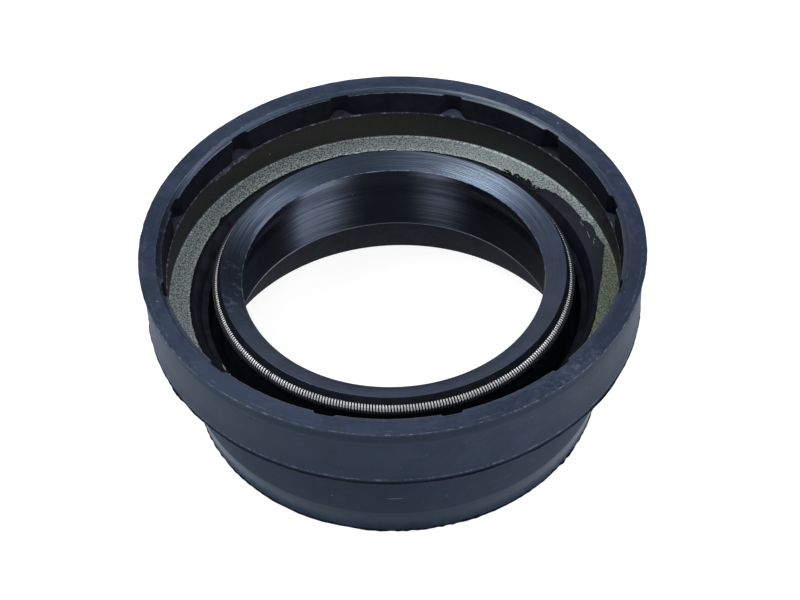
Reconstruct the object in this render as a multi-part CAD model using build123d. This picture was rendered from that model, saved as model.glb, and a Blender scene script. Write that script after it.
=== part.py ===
from build123d import *

import os
from math import radians, tan

# Radial shaft seal: a moulded rubber body, a stamped steel case bonded inside it, and a
# garter spring. Millimetres. The axis is Z and the lower end of the skirt is at Z = 0.
# Radii are chained outwards from the shaft and heights upwards from the lower end, so a
# change of one size carries everything that is built on it.

# Shaft and sealing lip
shaft_diameter = 40.0
lip_interference = 0.43  # radial: the free lip is this much inside the shaft's surface
air_side_angle = 29.0  # between the axis and the flank below the lip's crest
oil_band_height = 0.85  # narrow band between the crest and the trimmed edge
oil_band_flare = 0.13
trim_angle = 23.0  # slope of the trimmed top face of the lip head
head_width = 2.75
head_back_angle = 31.0  # between the axis and the back of the lip head, which folds over the spring
waist_rise = 1.15  # thinnest place of the membrane, above the heel bore
waist_relief = 0.45
membrane_thickness = 1.45

# Garter spring and its groove
spring_tube_diameter = 1.83
spring_reach = 3.12  # from the lip's crest out to the centre of the coil
spring_rise = 0.24
groove_clearance = 0.03
shoulder_reach = 0.21  # bead under the groove, outside the centre of the coil
shoulder_margin = 0.27
shoulder_height = 1.05

# Heel, and the recess under it
heel_clearance = 1.25
heel_bore_length = 5.66
recess_depth = 8.24
skirt_wall = 2.55
recess_corner_radius = 0.6

# Trench between the membrane and the case
trench_width = 1.73
ledge_width = 0.85
ledge_fall = 0.46
land_cover = 0.72
land_width = 0.5
land_lap = 0.6  # how far the rubber laps out over the bend of the metal floor
land_rise = 0.05
land_slope_height = 1.94

# Stamped steel case
sheet_thickness = 0.9
bend_radius = 0.2
neck_height = 8.45
floor_width = 2.5
bare_wall_height = 4.4
heel_cover = 0.51
flange_bore_cover = 1.05
trench_floor_cover = 0.55

# Skirt, which is pressed into the housing
skirt_cover = 0.85
lead_in_height = 4.8
lead_in_taper = 0.85

# Collar round the cup
collar_height = 9.5
collar_cover = 1.9
collar_floor_cover = 0.3
collar_corner_radius = 0.3
rim_flare = 0.42
rim_flare_height = 2.45
rim_land_width = 2.22
bevel_width = 0.36
bevel_depth = 0.47
lining_lean = 0.2  # draft of the lining, from the end of the metal wall up to its top edge

# Notches left in the lining by the pads that held the case in the mould
notch_count = 12
first_notch_angle = 12.7
notch_depth_at_top = 0.6
notch_depth_at_base = 1.55
notch_axis_inset = 0.5

# Radii
lip_radius = shaft_diameter / 2 - lip_interference
trim_radius = lip_radius + oil_band_flare
head_radius = trim_radius + head_width
spring_tube_radius = spring_tube_diameter / 2
groove_radius = spring_tube_radius + groove_clearance
spring_radius = lip_radius + spring_reach
heel_bore_radius = shaft_diameter / 2 + heel_clearance
waist_radius = heel_bore_radius + waist_relief
membrane_radius = heel_bore_radius + membrane_thickness
trench_radius = membrane_radius + trench_width
ledge_radius = trench_radius + ledge_width
neck_inner_radius = ledge_radius + land_cover
neck_outer_radius = neck_inner_radius + sheet_thickness
skirt_radius = neck_outer_radius + skirt_cover
recess_radius = skirt_radius - skirt_wall
cup_radius = neck_outer_radius + floor_width
collar_radius = cup_radius + sheet_thickness + collar_cover
rim_radius = collar_radius + rim_flare
bevel_top_radius = rim_radius - rim_land_width
bevel_foot_radius = bevel_top_radius - bevel_width
land_edge_radius = neck_inner_radius + land_lap

# Heights
flange_base = recess_depth + heel_cover
trench_floor = flange_base + sheet_thickness + trench_floor_cover
metal_floor = flange_base + neck_height
collar_base = metal_floor - sheet_thickness - collar_floor_cover
rim_top = collar_base + collar_height
lining_base = metal_floor + bare_wall_height
bevel_foot = rim_top - bevel_depth
heel_bore_top = recess_depth + heel_bore_length
waist_height = heel_bore_top + waist_rise
crest_height = waist_height + (waist_radius - lip_radius) / tan(radians(air_side_angle))
trim_height = crest_height + oil_band_height
head_height = trim_height + head_width * tan(radians(trim_angle))
spring_height = crest_height + spring_rise
head_back_reach = (head_height - spring_height) * tan(radians(head_back_angle))
shoulder_top = spring_height - groove_radius - shoulder_margin
ledge_top = metal_floor - land_slope_height


def section(*corners):
    """Closed face in the XZ plane from corners given as (radius, height, rounding)."""
    points = [(radius, height) for radius, height, _ in corners]
    roundings = [rounding for _, _, rounding in corners]
    return Plane.XZ * make_face(FilletPolyline(*points, radius=roundings, close=True))


def case_section():
    """One sheet of constant thickness: cup wall, floor, neck and inward flange."""
    half_sheet = sheet_thickness / 2
    middle = FilletPolyline(
        (cup_radius + half_sheet, lining_base),
        (cup_radius + half_sheet, metal_floor - half_sheet),
        (neck_inner_radius + half_sheet, metal_floor - half_sheet),
        (neck_inner_radius + half_sheet, flange_base + half_sheet),
        (heel_bore_radius + flange_bore_cover, flange_base + half_sheet),
        radius=bend_radius + half_sheet,
    )
    return Plane.XZ * trace(middle, sheet_thickness)


def spring_groove():
    """Round seat of the garter spring, between the lip head that folds over it and the bead."""
    return Plane.XZ * Pos(spring_radius, spring_height) * Circle(groove_radius)


def body_section():
    """Rubber section: skirt, collar, cup lining, trench, lip head and heel."""
    inside_sheet = sheet_thickness / 2
    trench_round = 0.49 * trench_width
    envelope = section(
        (recess_radius, 0, 0),
        (skirt_radius - lead_in_taper, 0, 0.3),
        (skirt_radius, lead_in_height, 0),
        (skirt_radius, collar_base, 0),
        (collar_radius, collar_base, collar_corner_radius),
        (collar_radius, rim_top - rim_flare_height, 0),
        (rim_radius, rim_top, 0),
        (bevel_top_radius, rim_top, 0),
        (bevel_foot_radius, bevel_foot, 0),
        (cup_radius + lining_lean, bevel_foot, 0),
        (cup_radius, lining_base, 0),
        (cup_radius + inside_sheet, lining_base, 0),
        (cup_radius + inside_sheet, metal_floor - inside_sheet, 0),
        (land_edge_radius, metal_floor - inside_sheet, 0),
        (land_edge_radius, metal_floor + land_rise, 0),
        (land_edge_radius - land_width, metal_floor + land_rise, 0.15),
        (ledge_radius, ledge_top, 0.2),
        (trench_radius, ledge_top - ledge_fall, 0.2),
        (trench_radius, trench_floor, trench_round),
        (membrane_radius, trench_floor, trench_round),
        (membrane_radius, shoulder_top - shoulder_height, 0.5),
        (spring_radius + shoulder_reach, shoulder_top, 0.2),
        (head_radius + head_back_reach, spring_height, 0),
        (head_radius, head_height, 0),
        (trim_radius, trim_height, 0),
        (lip_radius, crest_height, 0),
        (waist_radius, waist_height, 0.5),
        (heel_bore_radius, heel_bore_top, 0),
        (heel_bore_radius, recess_depth, 0),
        (recess_radius, recess_depth, recess_corner_radius),
    )
    return envelope - case_section() - spring_groove()


def notch_cutters():
    """Ring of cones that widen downwards and stand on the end of the metal wall."""
    cone = Pos(0, 0, lining_base) * Cone(
        notch_depth_at_base + notch_axis_inset,
        notch_depth_at_top + notch_axis_inset,
        bevel_foot - lining_base,
        align=(Align.CENTER, Align.CENTER, Align.MIN),
    )
    return PolarLocations(cup_radius - notch_axis_inset, notch_count, first_notch_angle) * cone


def rubber_body():
    """Moulded body with its ring of notches."""
    return revolve(body_section(), Axis.Z) - notch_cutters()


def steel_case():
    """Stamped case."""
    return revolve(case_section(), Axis.Z)


def garter_spring():
    """Closed ring with the outer form of the coil."""
    return Pos(0, 0, spring_height) * Torus(spring_radius, spring_tube_radius)


os.makedirs("parts", exist_ok=True)
export_step(rubber_body(), "parts/rubber_body.step")
export_step(steel_case(), "parts/steel_case.step")
export_step(garter_spring(), "parts/garter_spring.step")
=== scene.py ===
import logging
import math
from dataclasses import dataclass
from enum import Enum
from functools import cached_property, reduce
from operator import add

import bpy
import numpy as np
from mathutils import Matrix, Vector


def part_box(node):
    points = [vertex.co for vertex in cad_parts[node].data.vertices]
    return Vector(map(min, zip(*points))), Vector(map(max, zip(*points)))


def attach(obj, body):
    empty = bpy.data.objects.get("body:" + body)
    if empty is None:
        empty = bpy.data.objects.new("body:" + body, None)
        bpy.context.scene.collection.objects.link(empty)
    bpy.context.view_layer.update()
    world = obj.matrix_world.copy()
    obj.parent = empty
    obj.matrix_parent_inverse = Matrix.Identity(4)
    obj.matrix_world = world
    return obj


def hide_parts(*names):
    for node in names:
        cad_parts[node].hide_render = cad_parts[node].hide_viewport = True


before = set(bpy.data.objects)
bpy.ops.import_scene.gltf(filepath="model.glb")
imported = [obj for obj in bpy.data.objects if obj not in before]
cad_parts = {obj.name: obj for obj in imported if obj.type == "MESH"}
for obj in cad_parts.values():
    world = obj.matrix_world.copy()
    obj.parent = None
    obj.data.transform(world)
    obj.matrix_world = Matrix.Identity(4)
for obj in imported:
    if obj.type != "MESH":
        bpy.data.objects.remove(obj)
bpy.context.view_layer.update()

# Looks of a radial shaft seal: a moulded rubber body with its flash and notches, the bare
# steel of the case in the cup, and the garter spring as a true coil. The seal's sizes are in
# millimetres, which become metres as a mesh or a material is made. The studio is in metres.

MM = 0.001
SHARP_EDGE = math.radians(34)
CLOSE_STEPS = np.array([0.15, 0.4])

Number = float | int
Colour = tuple[float, float, float]
Spot = tuple[Number, Number, Number]  # middle and half width in degrees, and weight
Pairs = tuple[tuple[float, float], ...]

log = logging.getLogger("seal")


# ------------------------------------------------------------------ surfaces


@dataclass(frozen=True)
class Corner:
    """A corner of a section: its radius, its height, its rounding and whether it needs close rows."""

    radius: float
    height: float
    rounding: float = 0.0
    close: bool = False


def unit(vectors: np.ndarray) -> np.ndarray:
    """Vectors divided by their own lengths, with the components on the last axis."""
    return vectors / np.maximum(np.linalg.norm(vectors, axis=-1, keepdims=True), 1e-9)


def rounded_outline(corners: list[Corner], longest: float, arc_step: float = 0.45) -> np.ndarray:
    """Closed outline through the corners, with arcs at them and its straight runs divided.

    An arc's centre lies on the corner's bisector, rounding / sin(half angle) away, and the arc
    meets each side rounding / tan(half angle) from the corner. A close corner gets extra points
    on both sides, CLOSE_STEPS beyond its arc.

    Args:
        corners: corners in order round the section.
        longest: longest straight step.
        arc_step: largest turn of one step along an arc, in radians.

    Returns:
        Array of (radius, height) points, one row each, the last joined to the first.
    """
    spots = np.array([(c.radius, c.height) for c in corners])
    pieces: list[np.ndarray] = []
    for spot, before, after, corner in zip(spots, np.roll(spots, 1, 0), np.roll(spots, -1, 0), corners):
        back, on = unit(before - spot), unit(after - spot)
        half = math.acos(np.clip(back @ on, -1, 1)) / 2
        reach = corner.rounding / math.tan(half)
        arc = spot[None]
        if corner.rounding > 0:
            centre = spot + unit(back + on) * corner.rounding / math.sin(half)
            first, last = spot + back * reach - centre, spot + on * reach - centre
            turn = math.atan2(first[0] * last[1] - first[1] * last[0], first @ last)
            steps = max(3, 1 + math.ceil(abs(turn) / arc_step))
            angles = math.atan2(first[1], first[0]) + np.linspace(0, turn, steps)
            arc = centre + corner.rounding * np.stack([np.cos(angles), np.sin(angles)], 1)
        extra = (CLOSE_STEPS if corner.close else np.empty(0))[:, None] + reach
        pieces.append(np.concatenate([spot + back * extra[::-1], arc, spot + on * extra]))
    outline = np.concatenate(pieces)
    following = np.roll(outline, -1, 0)
    counts = np.maximum(1, np.ceil(np.linalg.norm(following - outline, axis=1) / longest).astype(int))
    starts = np.repeat(np.arange(len(outline)), counts)
    shares = np.concatenate([np.arange(n) / n for n in counts])[:, None]
    return outline[starts] * (1 - shares) + following[starts] * shares


def turned(radius: np.ndarray, height: np.ndarray, angle: np.ndarray) -> np.ndarray:
    """Points at the given radius, height and angle round the axis.

    x = radius cos(angle), y = radius sin(angle), z = height.

    Args:
        radius: radii, broadcast against the angles.
        height: heights, of the same shape as the radii.
        angle: angles in radians.

    Returns:
        Array of points whose last axis is x, y, z.
    """
    radius, height, angle = np.broadcast_arrays(radius, height, angle)
    return np.stack([radius * np.cos(angle), radius * np.sin(angle), height], -1)


def tube_quads(rows: int, columns: int, ring: bool) -> np.ndarray:
    """Faces between the rows of a tube, whose points are numbered along one row after another.

    Args:
        rows: number of rows.
        columns: points in a row, the last joined to the first.
        ring: whether the last row joins the first.

    Returns:
        One row of four vertex numbers for each face.
    """
    index = np.arange(rows * columns).reshape(rows, columns)
    index = np.pad(index, ((0, int(ring)), (0, 1)), mode="wrap")
    return np.stack([index[:-1, :-1], index[1:, :-1], index[1:, 1:], index[:-1, 1:]], -1).reshape(-1, 4)


def mesh_piece(name: str, points: np.ndarray, quads: np.ndarray) -> bpy.types.Object:
    """Mesh object with the given points and four-sided faces, shaded smooth up to sharp edges.

    Args:
        name: name of the object.
        points: one row for each vertex.
        quads: one row of four vertex numbers for each face.

    Returns:
        The linked object, at the origin.
    """
    mesh = bpy.data.meshes.new(name)
    mesh.vertices.add(len(points))
    mesh.vertices.foreach_set("co", (points * MM).astype(np.float32).ravel())
    mesh.loops.add(quads.size)
    mesh.loops.foreach_set("vertex_index", quads.astype(np.int32).ravel())
    mesh.polygons.add(len(quads))
    mesh.polygons.foreach_set("loop_start", np.arange(0, quads.size, 4, dtype=np.int32))
    mesh.update(calc_edges=True)
    mesh.validate()
    mesh.polygons.foreach_set("use_smooth", np.ones(len(mesh.polygons), dtype=bool))
    mesh.set_sharp_from_angle(angle=SHARP_EDGE)
    piece = bpy.data.objects.new(name, mesh)
    bpy.context.scene.collection.objects.link(piece)
    return piece


def ring_piece(name: str, points: np.ndarray) -> bpy.types.Object:
    """Mesh object over a grid of points, rows by columns by 3, that closes both ways."""
    return mesh_piece(name, points.reshape(-1, 3), tube_quads(*points.shape[:2], ring=True))


def fin_ring(name: str, path: np.ndarray, angle: np.ndarray, thickness: np.ndarray) -> bpy.types.Object:
    """Closed thin fin round the axis, such as moulding flash or a film.

    Its section goes out along the path, half the thickness to the right of it, and back half the
    thickness to the left.

    Args:
        name: name of the object.
        path: angles by steps by (radius, height), from the root of the fin to its edge.
        angle: angles in radians.
        thickness: thickness at each step.

    Returns:
        The linked object.
    """
    run = unit(np.gradient(path, axis=1))
    right = np.stack([run[..., 1], -run[..., 0]], -1) * thickness[None, :, None] / 2
    section = np.concatenate([path + right, (path - right)[:, ::-1]], 1)
    return ring_piece(name, turned(section[..., 0], section[..., 1], angle[:, None]))


def ripple(angle: np.ndarray, waves: tuple[int, int], seed: int) -> np.ndarray:
    """Uneven line round the axis, mostly between -1 and 1, with calm and rough stretches.

    A sum of cosines with whole numbers of waves, seeded phases and heights that fall with the
    root of the number of waves, times 0.55 + 0.45 tanh of a slow sum of the same kind, so it
    closes on itself.

    Args:
        angle: angles in radians.
        waves: fewest and most waves in one turn.
        seed: number that fixes the phases.

    Returns:
        One value for each angle.
    """
    dice = np.random.default_rng(seed)
    counts = np.arange(waves[0], waves[1] + 1)
    phases = dice.uniform(0, 2 * math.pi, len(counts))
    weights = dice.uniform(0.3, 1.0, len(counts)) / np.sqrt(counts)
    weights *= 1.0 / math.sqrt(np.sum(weights**2))
    calm = np.cos(angle[..., None] * np.arange(2, 9) + dice.uniform(0, 2 * math.pi, 7)).sum(-1) / 4
    return np.cos(angle[..., None] * counts + phases) @ weights * (0.55 + 0.45 * np.tanh(calm))


def stretch(angle: np.ndarray, middle: float, half_width: float, softness: float = 2.0) -> np.ndarray:
    """Share from 0 to 1 that is near 1 on one stretch of the way round.

    The share is exp(-(distance / half_width) ** softness), with the distance taken the short way
    round.

    Args:
        angle: angles in radians.
        middle: middle of the stretch in degrees.
        half_width: distance in degrees at which the share is 1 / e.
        softness: power that gives the stretch soft ends at 2 and sharp ones above it.

    Returns:
        One share for each angle.
    """
    away = np.degrees(np.angle(np.exp(1j * (angle - math.radians(middle)))))
    return np.exp(-(np.abs(away / half_width) ** softness))


# ------------------------------------------------------------------ sizes


@dataclass(frozen=True)
class Section:
    """Radii and heights of the seal, hung on the boxes of its three solids.

    The first eight are read off the boxes. The rest lead from them to faces that the boxes
    don't show.
    """

    rim_radius: float
    rim_top: float
    case_radius: float
    lining_base: float
    flange_base: float
    spring_radius: float
    spring_height: float
    tube_radius: float
    sheet: float = 0.9
    floor_width: float = 2.5
    bare_wall: float = 4.4
    skirt_cover: float = 0.85
    collar_cover: float = 1.9
    floor_cover: float = 0.3
    heel_cover: float = 0.51
    lip_reach: float = 3.12
    lip_drop: float = 0.24
    band_flare: float = 0.13
    band_height: float = 0.85
    heel_reach: float = 1.68
    rim_land: float = 2.24
    first_notch: float = 12.7
    notch_count: int = 12

    @classmethod
    def from_frame(cls) -> "Section":
        """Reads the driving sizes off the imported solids.

        Returns:
            The section.
        """
        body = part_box("rubber_body")[1]
        case_low, case_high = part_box("steel_case")
        spring_low, spring_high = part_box("garter_spring")
        tube_radius = (spring_high.z - spring_low.z) / 2
        metres = {
            "rim_radius": body.x,
            "rim_top": body.z,
            "case_radius": case_high.x,
            "lining_base": case_high.z,
            "flange_base": case_low.z,
            "spring_radius": spring_high.x - tube_radius,
            "spring_height": (spring_low.z + spring_high.z) / 2,
            "tube_radius": tube_radius,
        }
        return cls(**{name: size / MM for name, size in metres.items()})

    @property
    def cup_radius(self) -> float:
        """Inside of the cup, where rubber lining and bare wall are flush."""
        return self.case_radius - self.sheet

    @property
    def neck_outer(self) -> float:
        """Outside of the sheet below the floor."""
        return self.cup_radius - self.floor_width

    @property
    def neck_inner(self) -> float:
        """Inside of the sheet below the floor."""
        return self.neck_outer - self.sheet

    @property
    def skirt_radius(self) -> float:
        """Outside of the pressed-in skirt."""
        return self.neck_outer + self.skirt_cover

    @property
    def collar_radius(self) -> float:
        """Outside of the collar below its flare."""
        return self.case_radius + self.collar_cover

    @property
    def land_radius(self) -> float:
        """Inner edge of the rim's flat top."""
        return self.rim_radius - self.rim_land

    @property
    def metal_floor(self) -> float:
        """Height of the cup's steel floor."""
        return self.lining_base - self.bare_wall

    @property
    def collar_base(self) -> float:
        """Height of the step under the collar."""
        return self.metal_floor - self.sheet - self.floor_cover

    @property
    def heel_base(self) -> float:
        """Height of the flat underside inside the skirt."""
        return self.flange_base - self.heel_cover

    @property
    def crest_radius(self) -> float:
        """Radius of the free sealing lip."""
        return self.spring_radius - self.lip_reach

    @property
    def crest_height(self) -> float:
        """Height of the sealing lip."""
        return self.spring_height - self.lip_drop

    @property
    def trim_radius(self) -> float:
        """Inner edge of the trimmed top face of the lip head."""
        return self.crest_radius + self.band_flare

    @property
    def trim_height(self) -> float:
        """Height of that edge."""
        return self.crest_height + self.band_height

    @property
    def heel_radius(self) -> float:
        """Bore of the heel under the lip."""
        return self.crest_radius + self.heel_reach


# ------------------------------------------------------------------ shader arithmetic


class Signal:
    """A shader socket that does arithmetic: an expression on signals adds its Math nodes."""

    def __init__(self, graph: "Graph", socket: bpy.types.NodeSocket) -> None:
        """Keeps the socket and the graph that it belongs to."""
        self.graph = graph
        self.socket = socket

    def __add__(self, other: "Signal | Number") -> "Signal":
        """Sum."""
        return self.graph.math("ADD", self, other)

    __radd__ = __add__

    def __sub__(self, other: "Signal | Number") -> "Signal":
        """Difference."""
        return self.graph.math("SUBTRACT", self, other)

    def __rsub__(self, other: Number) -> "Signal":
        """Difference from a number."""
        return self.graph.math("SUBTRACT", other, self)

    def __mul__(self, other: "Signal | Number") -> "Signal":
        """Product."""
        return self.graph.math("MULTIPLY", self, other)

    __rmul__ = __mul__

    def __truediv__(self, other: "Signal | Number") -> "Signal":
        """Quotient."""
        return self.graph.math("DIVIDE", self, other)

    def __pow__(self, power: Number) -> "Signal":
        """Power."""
        return self.graph.math("POWER", self, power)

    def rising(self, low: Number, high: Number) -> "Signal":
        """Smooth step from 0 at low to 1 at high."""
        values = {"Value": self, "From Min": low, "From Max": high}
        return self.graph.signal("ShaderNodeMapRange", {"interpolation_type": "SMOOTHSTEP"}, values)

    def falling(self, low: Number, high: Number) -> "Signal":
        """Smooth step from 1 at low to 0 at high."""
        return 1 - self.rising(low, high)

    def within(self, low: Number, high: Number, soft: Number) -> "Signal":
        """1 between low and high, falling to 0 over soft on each side."""
        return self.rising(low - soft, low) * self.falling(high, high + soft)


class Graph:
    """A material's nodes, with one method for each kind of expression. Lengths are millimetres."""

    def __init__(self, name: str) -> None:
        """Makes an empty material with its output node.

        Args:
            name: name of the material.
        """
        self.material = bpy.data.materials.new(name)
        self.material.use_nodes = True
        self.tree = self.material.node_tree
        self.tree.nodes.clear()
        self.output = self.tree.nodes.new("ShaderNodeOutputMaterial")

    def node(self, kind: str, settings: dict | None = None, values: dict | None = None) -> bpy.types.Node:
        """Any node, with its settings set first and then its sockets.

        Args:
            kind: node type.
            settings: attributes of the node.
            values: socket name or number to a signal, a socket or a plain value.

        Returns:
            The node.
        """
        made = self.tree.nodes.new(kind)
        for attribute, value in (settings or {}).items():
            setattr(made, attribute, value)
        for key, value in (values or {}).items():
            if isinstance(value, Signal):
                value = value.socket
            if isinstance(value, bpy.types.NodeSocket):
                self.tree.links.new(value, made.inputs[key])
            else:
                made.inputs[key].default_value = value
        return made

    def signal(self, kind: str, settings: dict | None, values: dict | None, output: int | str = 0) -> Signal:
        """One output of a new node."""
        return Signal(self, self.node(kind, settings, values).outputs[output])

    def math(self, operation: str, *terms: Signal | Number) -> Signal:
        """Math node on numbers and signals."""
        return self.signal("ShaderNodeMath", {"operation": operation}, dict(enumerate(terms)))

    def vector(self, x: Signal | Number, y: Signal | Number, z: Signal | Number) -> Signal:
        """Vector of three numbers."""
        return self.signal("ShaderNodeCombineXYZ", None, {"X": x, "Y": y, "Z": z})

    @cached_property
    def place(self) -> Signal:
        """Object coordinates."""
        values = {0: self.node("ShaderNodeTexCoord").outputs["Object"], "Scale": 1 / MM}
        return self.signal("ShaderNodeVectorMath", {"operation": "SCALE"}, values)

    def mix(self, share: Signal | Number, first: Signal | Colour, second: Signal | Colour) -> Signal:
        """Colour that goes from first to second as share goes from 0 to 1."""
        first, second = (c if isinstance(c, Signal) else (*c, 1.0) for c in (first, second))
        return self.signal("ShaderNodeMix", {"data_type": "RGBA"}, {0: share, 6: first, 7: second}, 2)

    def layers(self, ground: Signal, *layers: tuple[Signal | Number, Signal | Colour]) -> Signal:
        """Colour under layers that are laid on one after another.

        Args:
            ground: colour below them all.
            layers: share and colour of each layer.

        Returns:
            The colour that shows.
        """
        for share, colour in layers:
            ground = self.mix(share, ground, colour)
        return ground

    def noise(
        self, scale: Number, detail: Number = 2.0, rough: Number = 0.5, place: Signal | None = None
    ) -> Signal:
        """Noise from 0 to 1, with scale features for each unit of the place."""
        values = {"Vector": place or self.place, "Scale": scale, "Detail": detail, "Roughness": rough}
        return self.signal("ShaderNodeTexNoise", None, values)

    def specks(self, spacing: float, size: float, kept: float) -> Signal:
        """Round specks, 0 or 1 with soft edges.

        Args:
            spacing: mean distance between cells.
            size: radius of a speck.
            kept: share of the cells that hold one.

        Returns:
            Mask of the specks.
        """
        cells = self.node("ShaderNodeTexVoronoi", None, {"Vector": self.place, "Scale": 1 / spacing})
        lot = self.signal("ShaderNodeSeparateXYZ", None, {0: cells.outputs["Color"]}, 0)
        own_size = lot * (size / spacing / kept) + 0.0001
        away = Signal(self, cells.outputs["Distance"])
        return (away / own_size).falling(0.6, 1.1) * lot.falling(kept, kept + 0.01)

    def bump(self, height: Signal, depth: float) -> Signal:
        """Normal bent by a height from 0 to 1 that stands for depth."""
        values = {"Height": height, "Strength": 1.0, "Distance": depth * MM}
        return self.signal("ShaderNodeBump", None, values)

    def shade(self, values: dict) -> bpy.types.Material:
        """Ends the material in a Principled shader.

        Args:
            values: socket name to a signal or a plain value.

        Returns:
            The material.
        """
        shader = self.node("ShaderNodeBsdfPrincipled", None, values)
        self.tree.links.new(shader.outputs[0], self.output.inputs["Surface"])
        return self.material


class SealGraph(Graph):
    """Nodes of a material on the seal, with the radius, height and angle (radians) of the place."""

    def __init__(self, name: str) -> None:
        """Works the three out from the object coordinates.

        Args:
            name: name of the material.
        """
        super().__init__(name)
        parts = self.node("ShaderNodeSeparateXYZ", None, {0: self.place})
        x, y, self.height = (Signal(self, part) for part in parts.outputs)
        self.radius = (x * x + y * y) ** 0.5
        self.angle = self.math("ARCTAN2", y, x)

    def towards(self, middle: Number) -> Signal:
        """Cosine of the angle from middle, in radians."""
        return self.math("COSINE", self.angle - middle)

    def facing(self, middle: Number, half: Number) -> Signal:
        """1 at the angle middle, 0.5 at half degrees from it: a power of the cosine between them."""
        power = math.log(0.5) / math.log(math.cos(math.radians(half)))
        return self.math("MAXIMUM", self.towards(math.radians(middle)), 0.0) ** power

    def spots(self, *spots: Spot) -> Signal:
        """Sum of facing(middle, half) * weight over the spots."""
        return reduce(add, (self.facing(middle, half) * weight for middle, half, weight in spots))

    def away(self, radius: Number, height: Number) -> Signal:
        """Distance from the circle of the given radius and height."""
        out, up = self.radius - radius, self.height - height
        return (out * out + up * up) ** 0.5

    def ring(self, radius: Number, height: Number, width: Number) -> Signal:
        """1 on the circle of the given radius and height, falling to 0 at width from it."""
        return self.away(radius, height).falling(width * 0.3, width)

    def streaks(self, scales: tuple[Number, Number, Number], detail: Number, rough: Number) -> Signal:
        """Noise with its own scale along the radius, the angle and the height."""
        parts = (part * scale for part, scale in zip((self.radius, self.angle, self.height), scales))
        return self.noise(1.0, detail, rough, self.vector(*parts))


# ------------------------------------------------------------------ finishes


class Skin(Enum):
    """How a face of the rubber was made or where it lies, in the order of the body's materials; HOLLOW and
    BORED faces carry painted shade.
    """

    MOULDED = 0
    HOLLOW = 1
    TRIMMED = 2
    BORED = 3


@dataclass(frozen=True)
class PadShelf:
    """Dusty step that a mould pad left, pale at the back and in shadow on the right."""

    dark: Colour
    pale: Colour
    shadow: Colour = (0.005, 0.005, 0.009)

    def colour(self, graph: SealGraph, grain: Signal) -> Signal:
        """Colour of the shelf."""
        dusty = graph.mix(grain * 0.2 + graph.facing(73, 8) * 0.40, self.dark, self.pale)
        return graph.mix(graph.facing(40, 20) * 0.85, dusty, self.shadow)


@dataclass(frozen=True)
class SealRubber:
    """Blue-black rubber: what all its faces share. Each kind of face is a class of its own.

    Attributes:
        section: sizes of the seal.
        skin: kind of face.
        level: specular level.
        tint: tint of the highlights.
        stretched: how much fine grooves round the axis stretch a highlight across them.
        bloomed: weight of the bluish bloom that shows at a grazing angle.
        deep: colour of the rubber.
        bloom: colour of its paler clouds.
        shade: colour of its darkest parts.
    """

    section: Section
    skin: Skin
    level: float
    tint: Colour
    stretched: float = 0.0
    bloomed: float = 0.0
    deep: Colour = (0.018, 0.026, 0.048)
    bloom: Colour = (0.036, 0.048, 0.084)
    shade: Colour = (0.0055, 0.0062, 0.0095)

    def faces(self, graph: SealGraph) -> dict[str, Signal]:
        """What the kind of face gives the shader's sockets."""
        raise NotImplementedError

    def dress(self) -> bpy.types.Material:
        """Builds the material.

        Returns:
            The material.
        """
        graph = SealGraph("rubber_" + self.skin.name.lower())
        constants = {
            "Specular IOR Level": self.level,
            "Specular Tint": (*self.tint, 1.0),
            "Sheen Weight": self.bloomed,
            "Sheen Roughness": 0.45,
            "Sheen Tint": (0.20, 0.50, 1.0, 1.0),
            "Anisotropic": self.stretched,
            "Anisotropic Rotation": 0.25,
        }
        return graph.shade(self.faces(graph) | constants)


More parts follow.
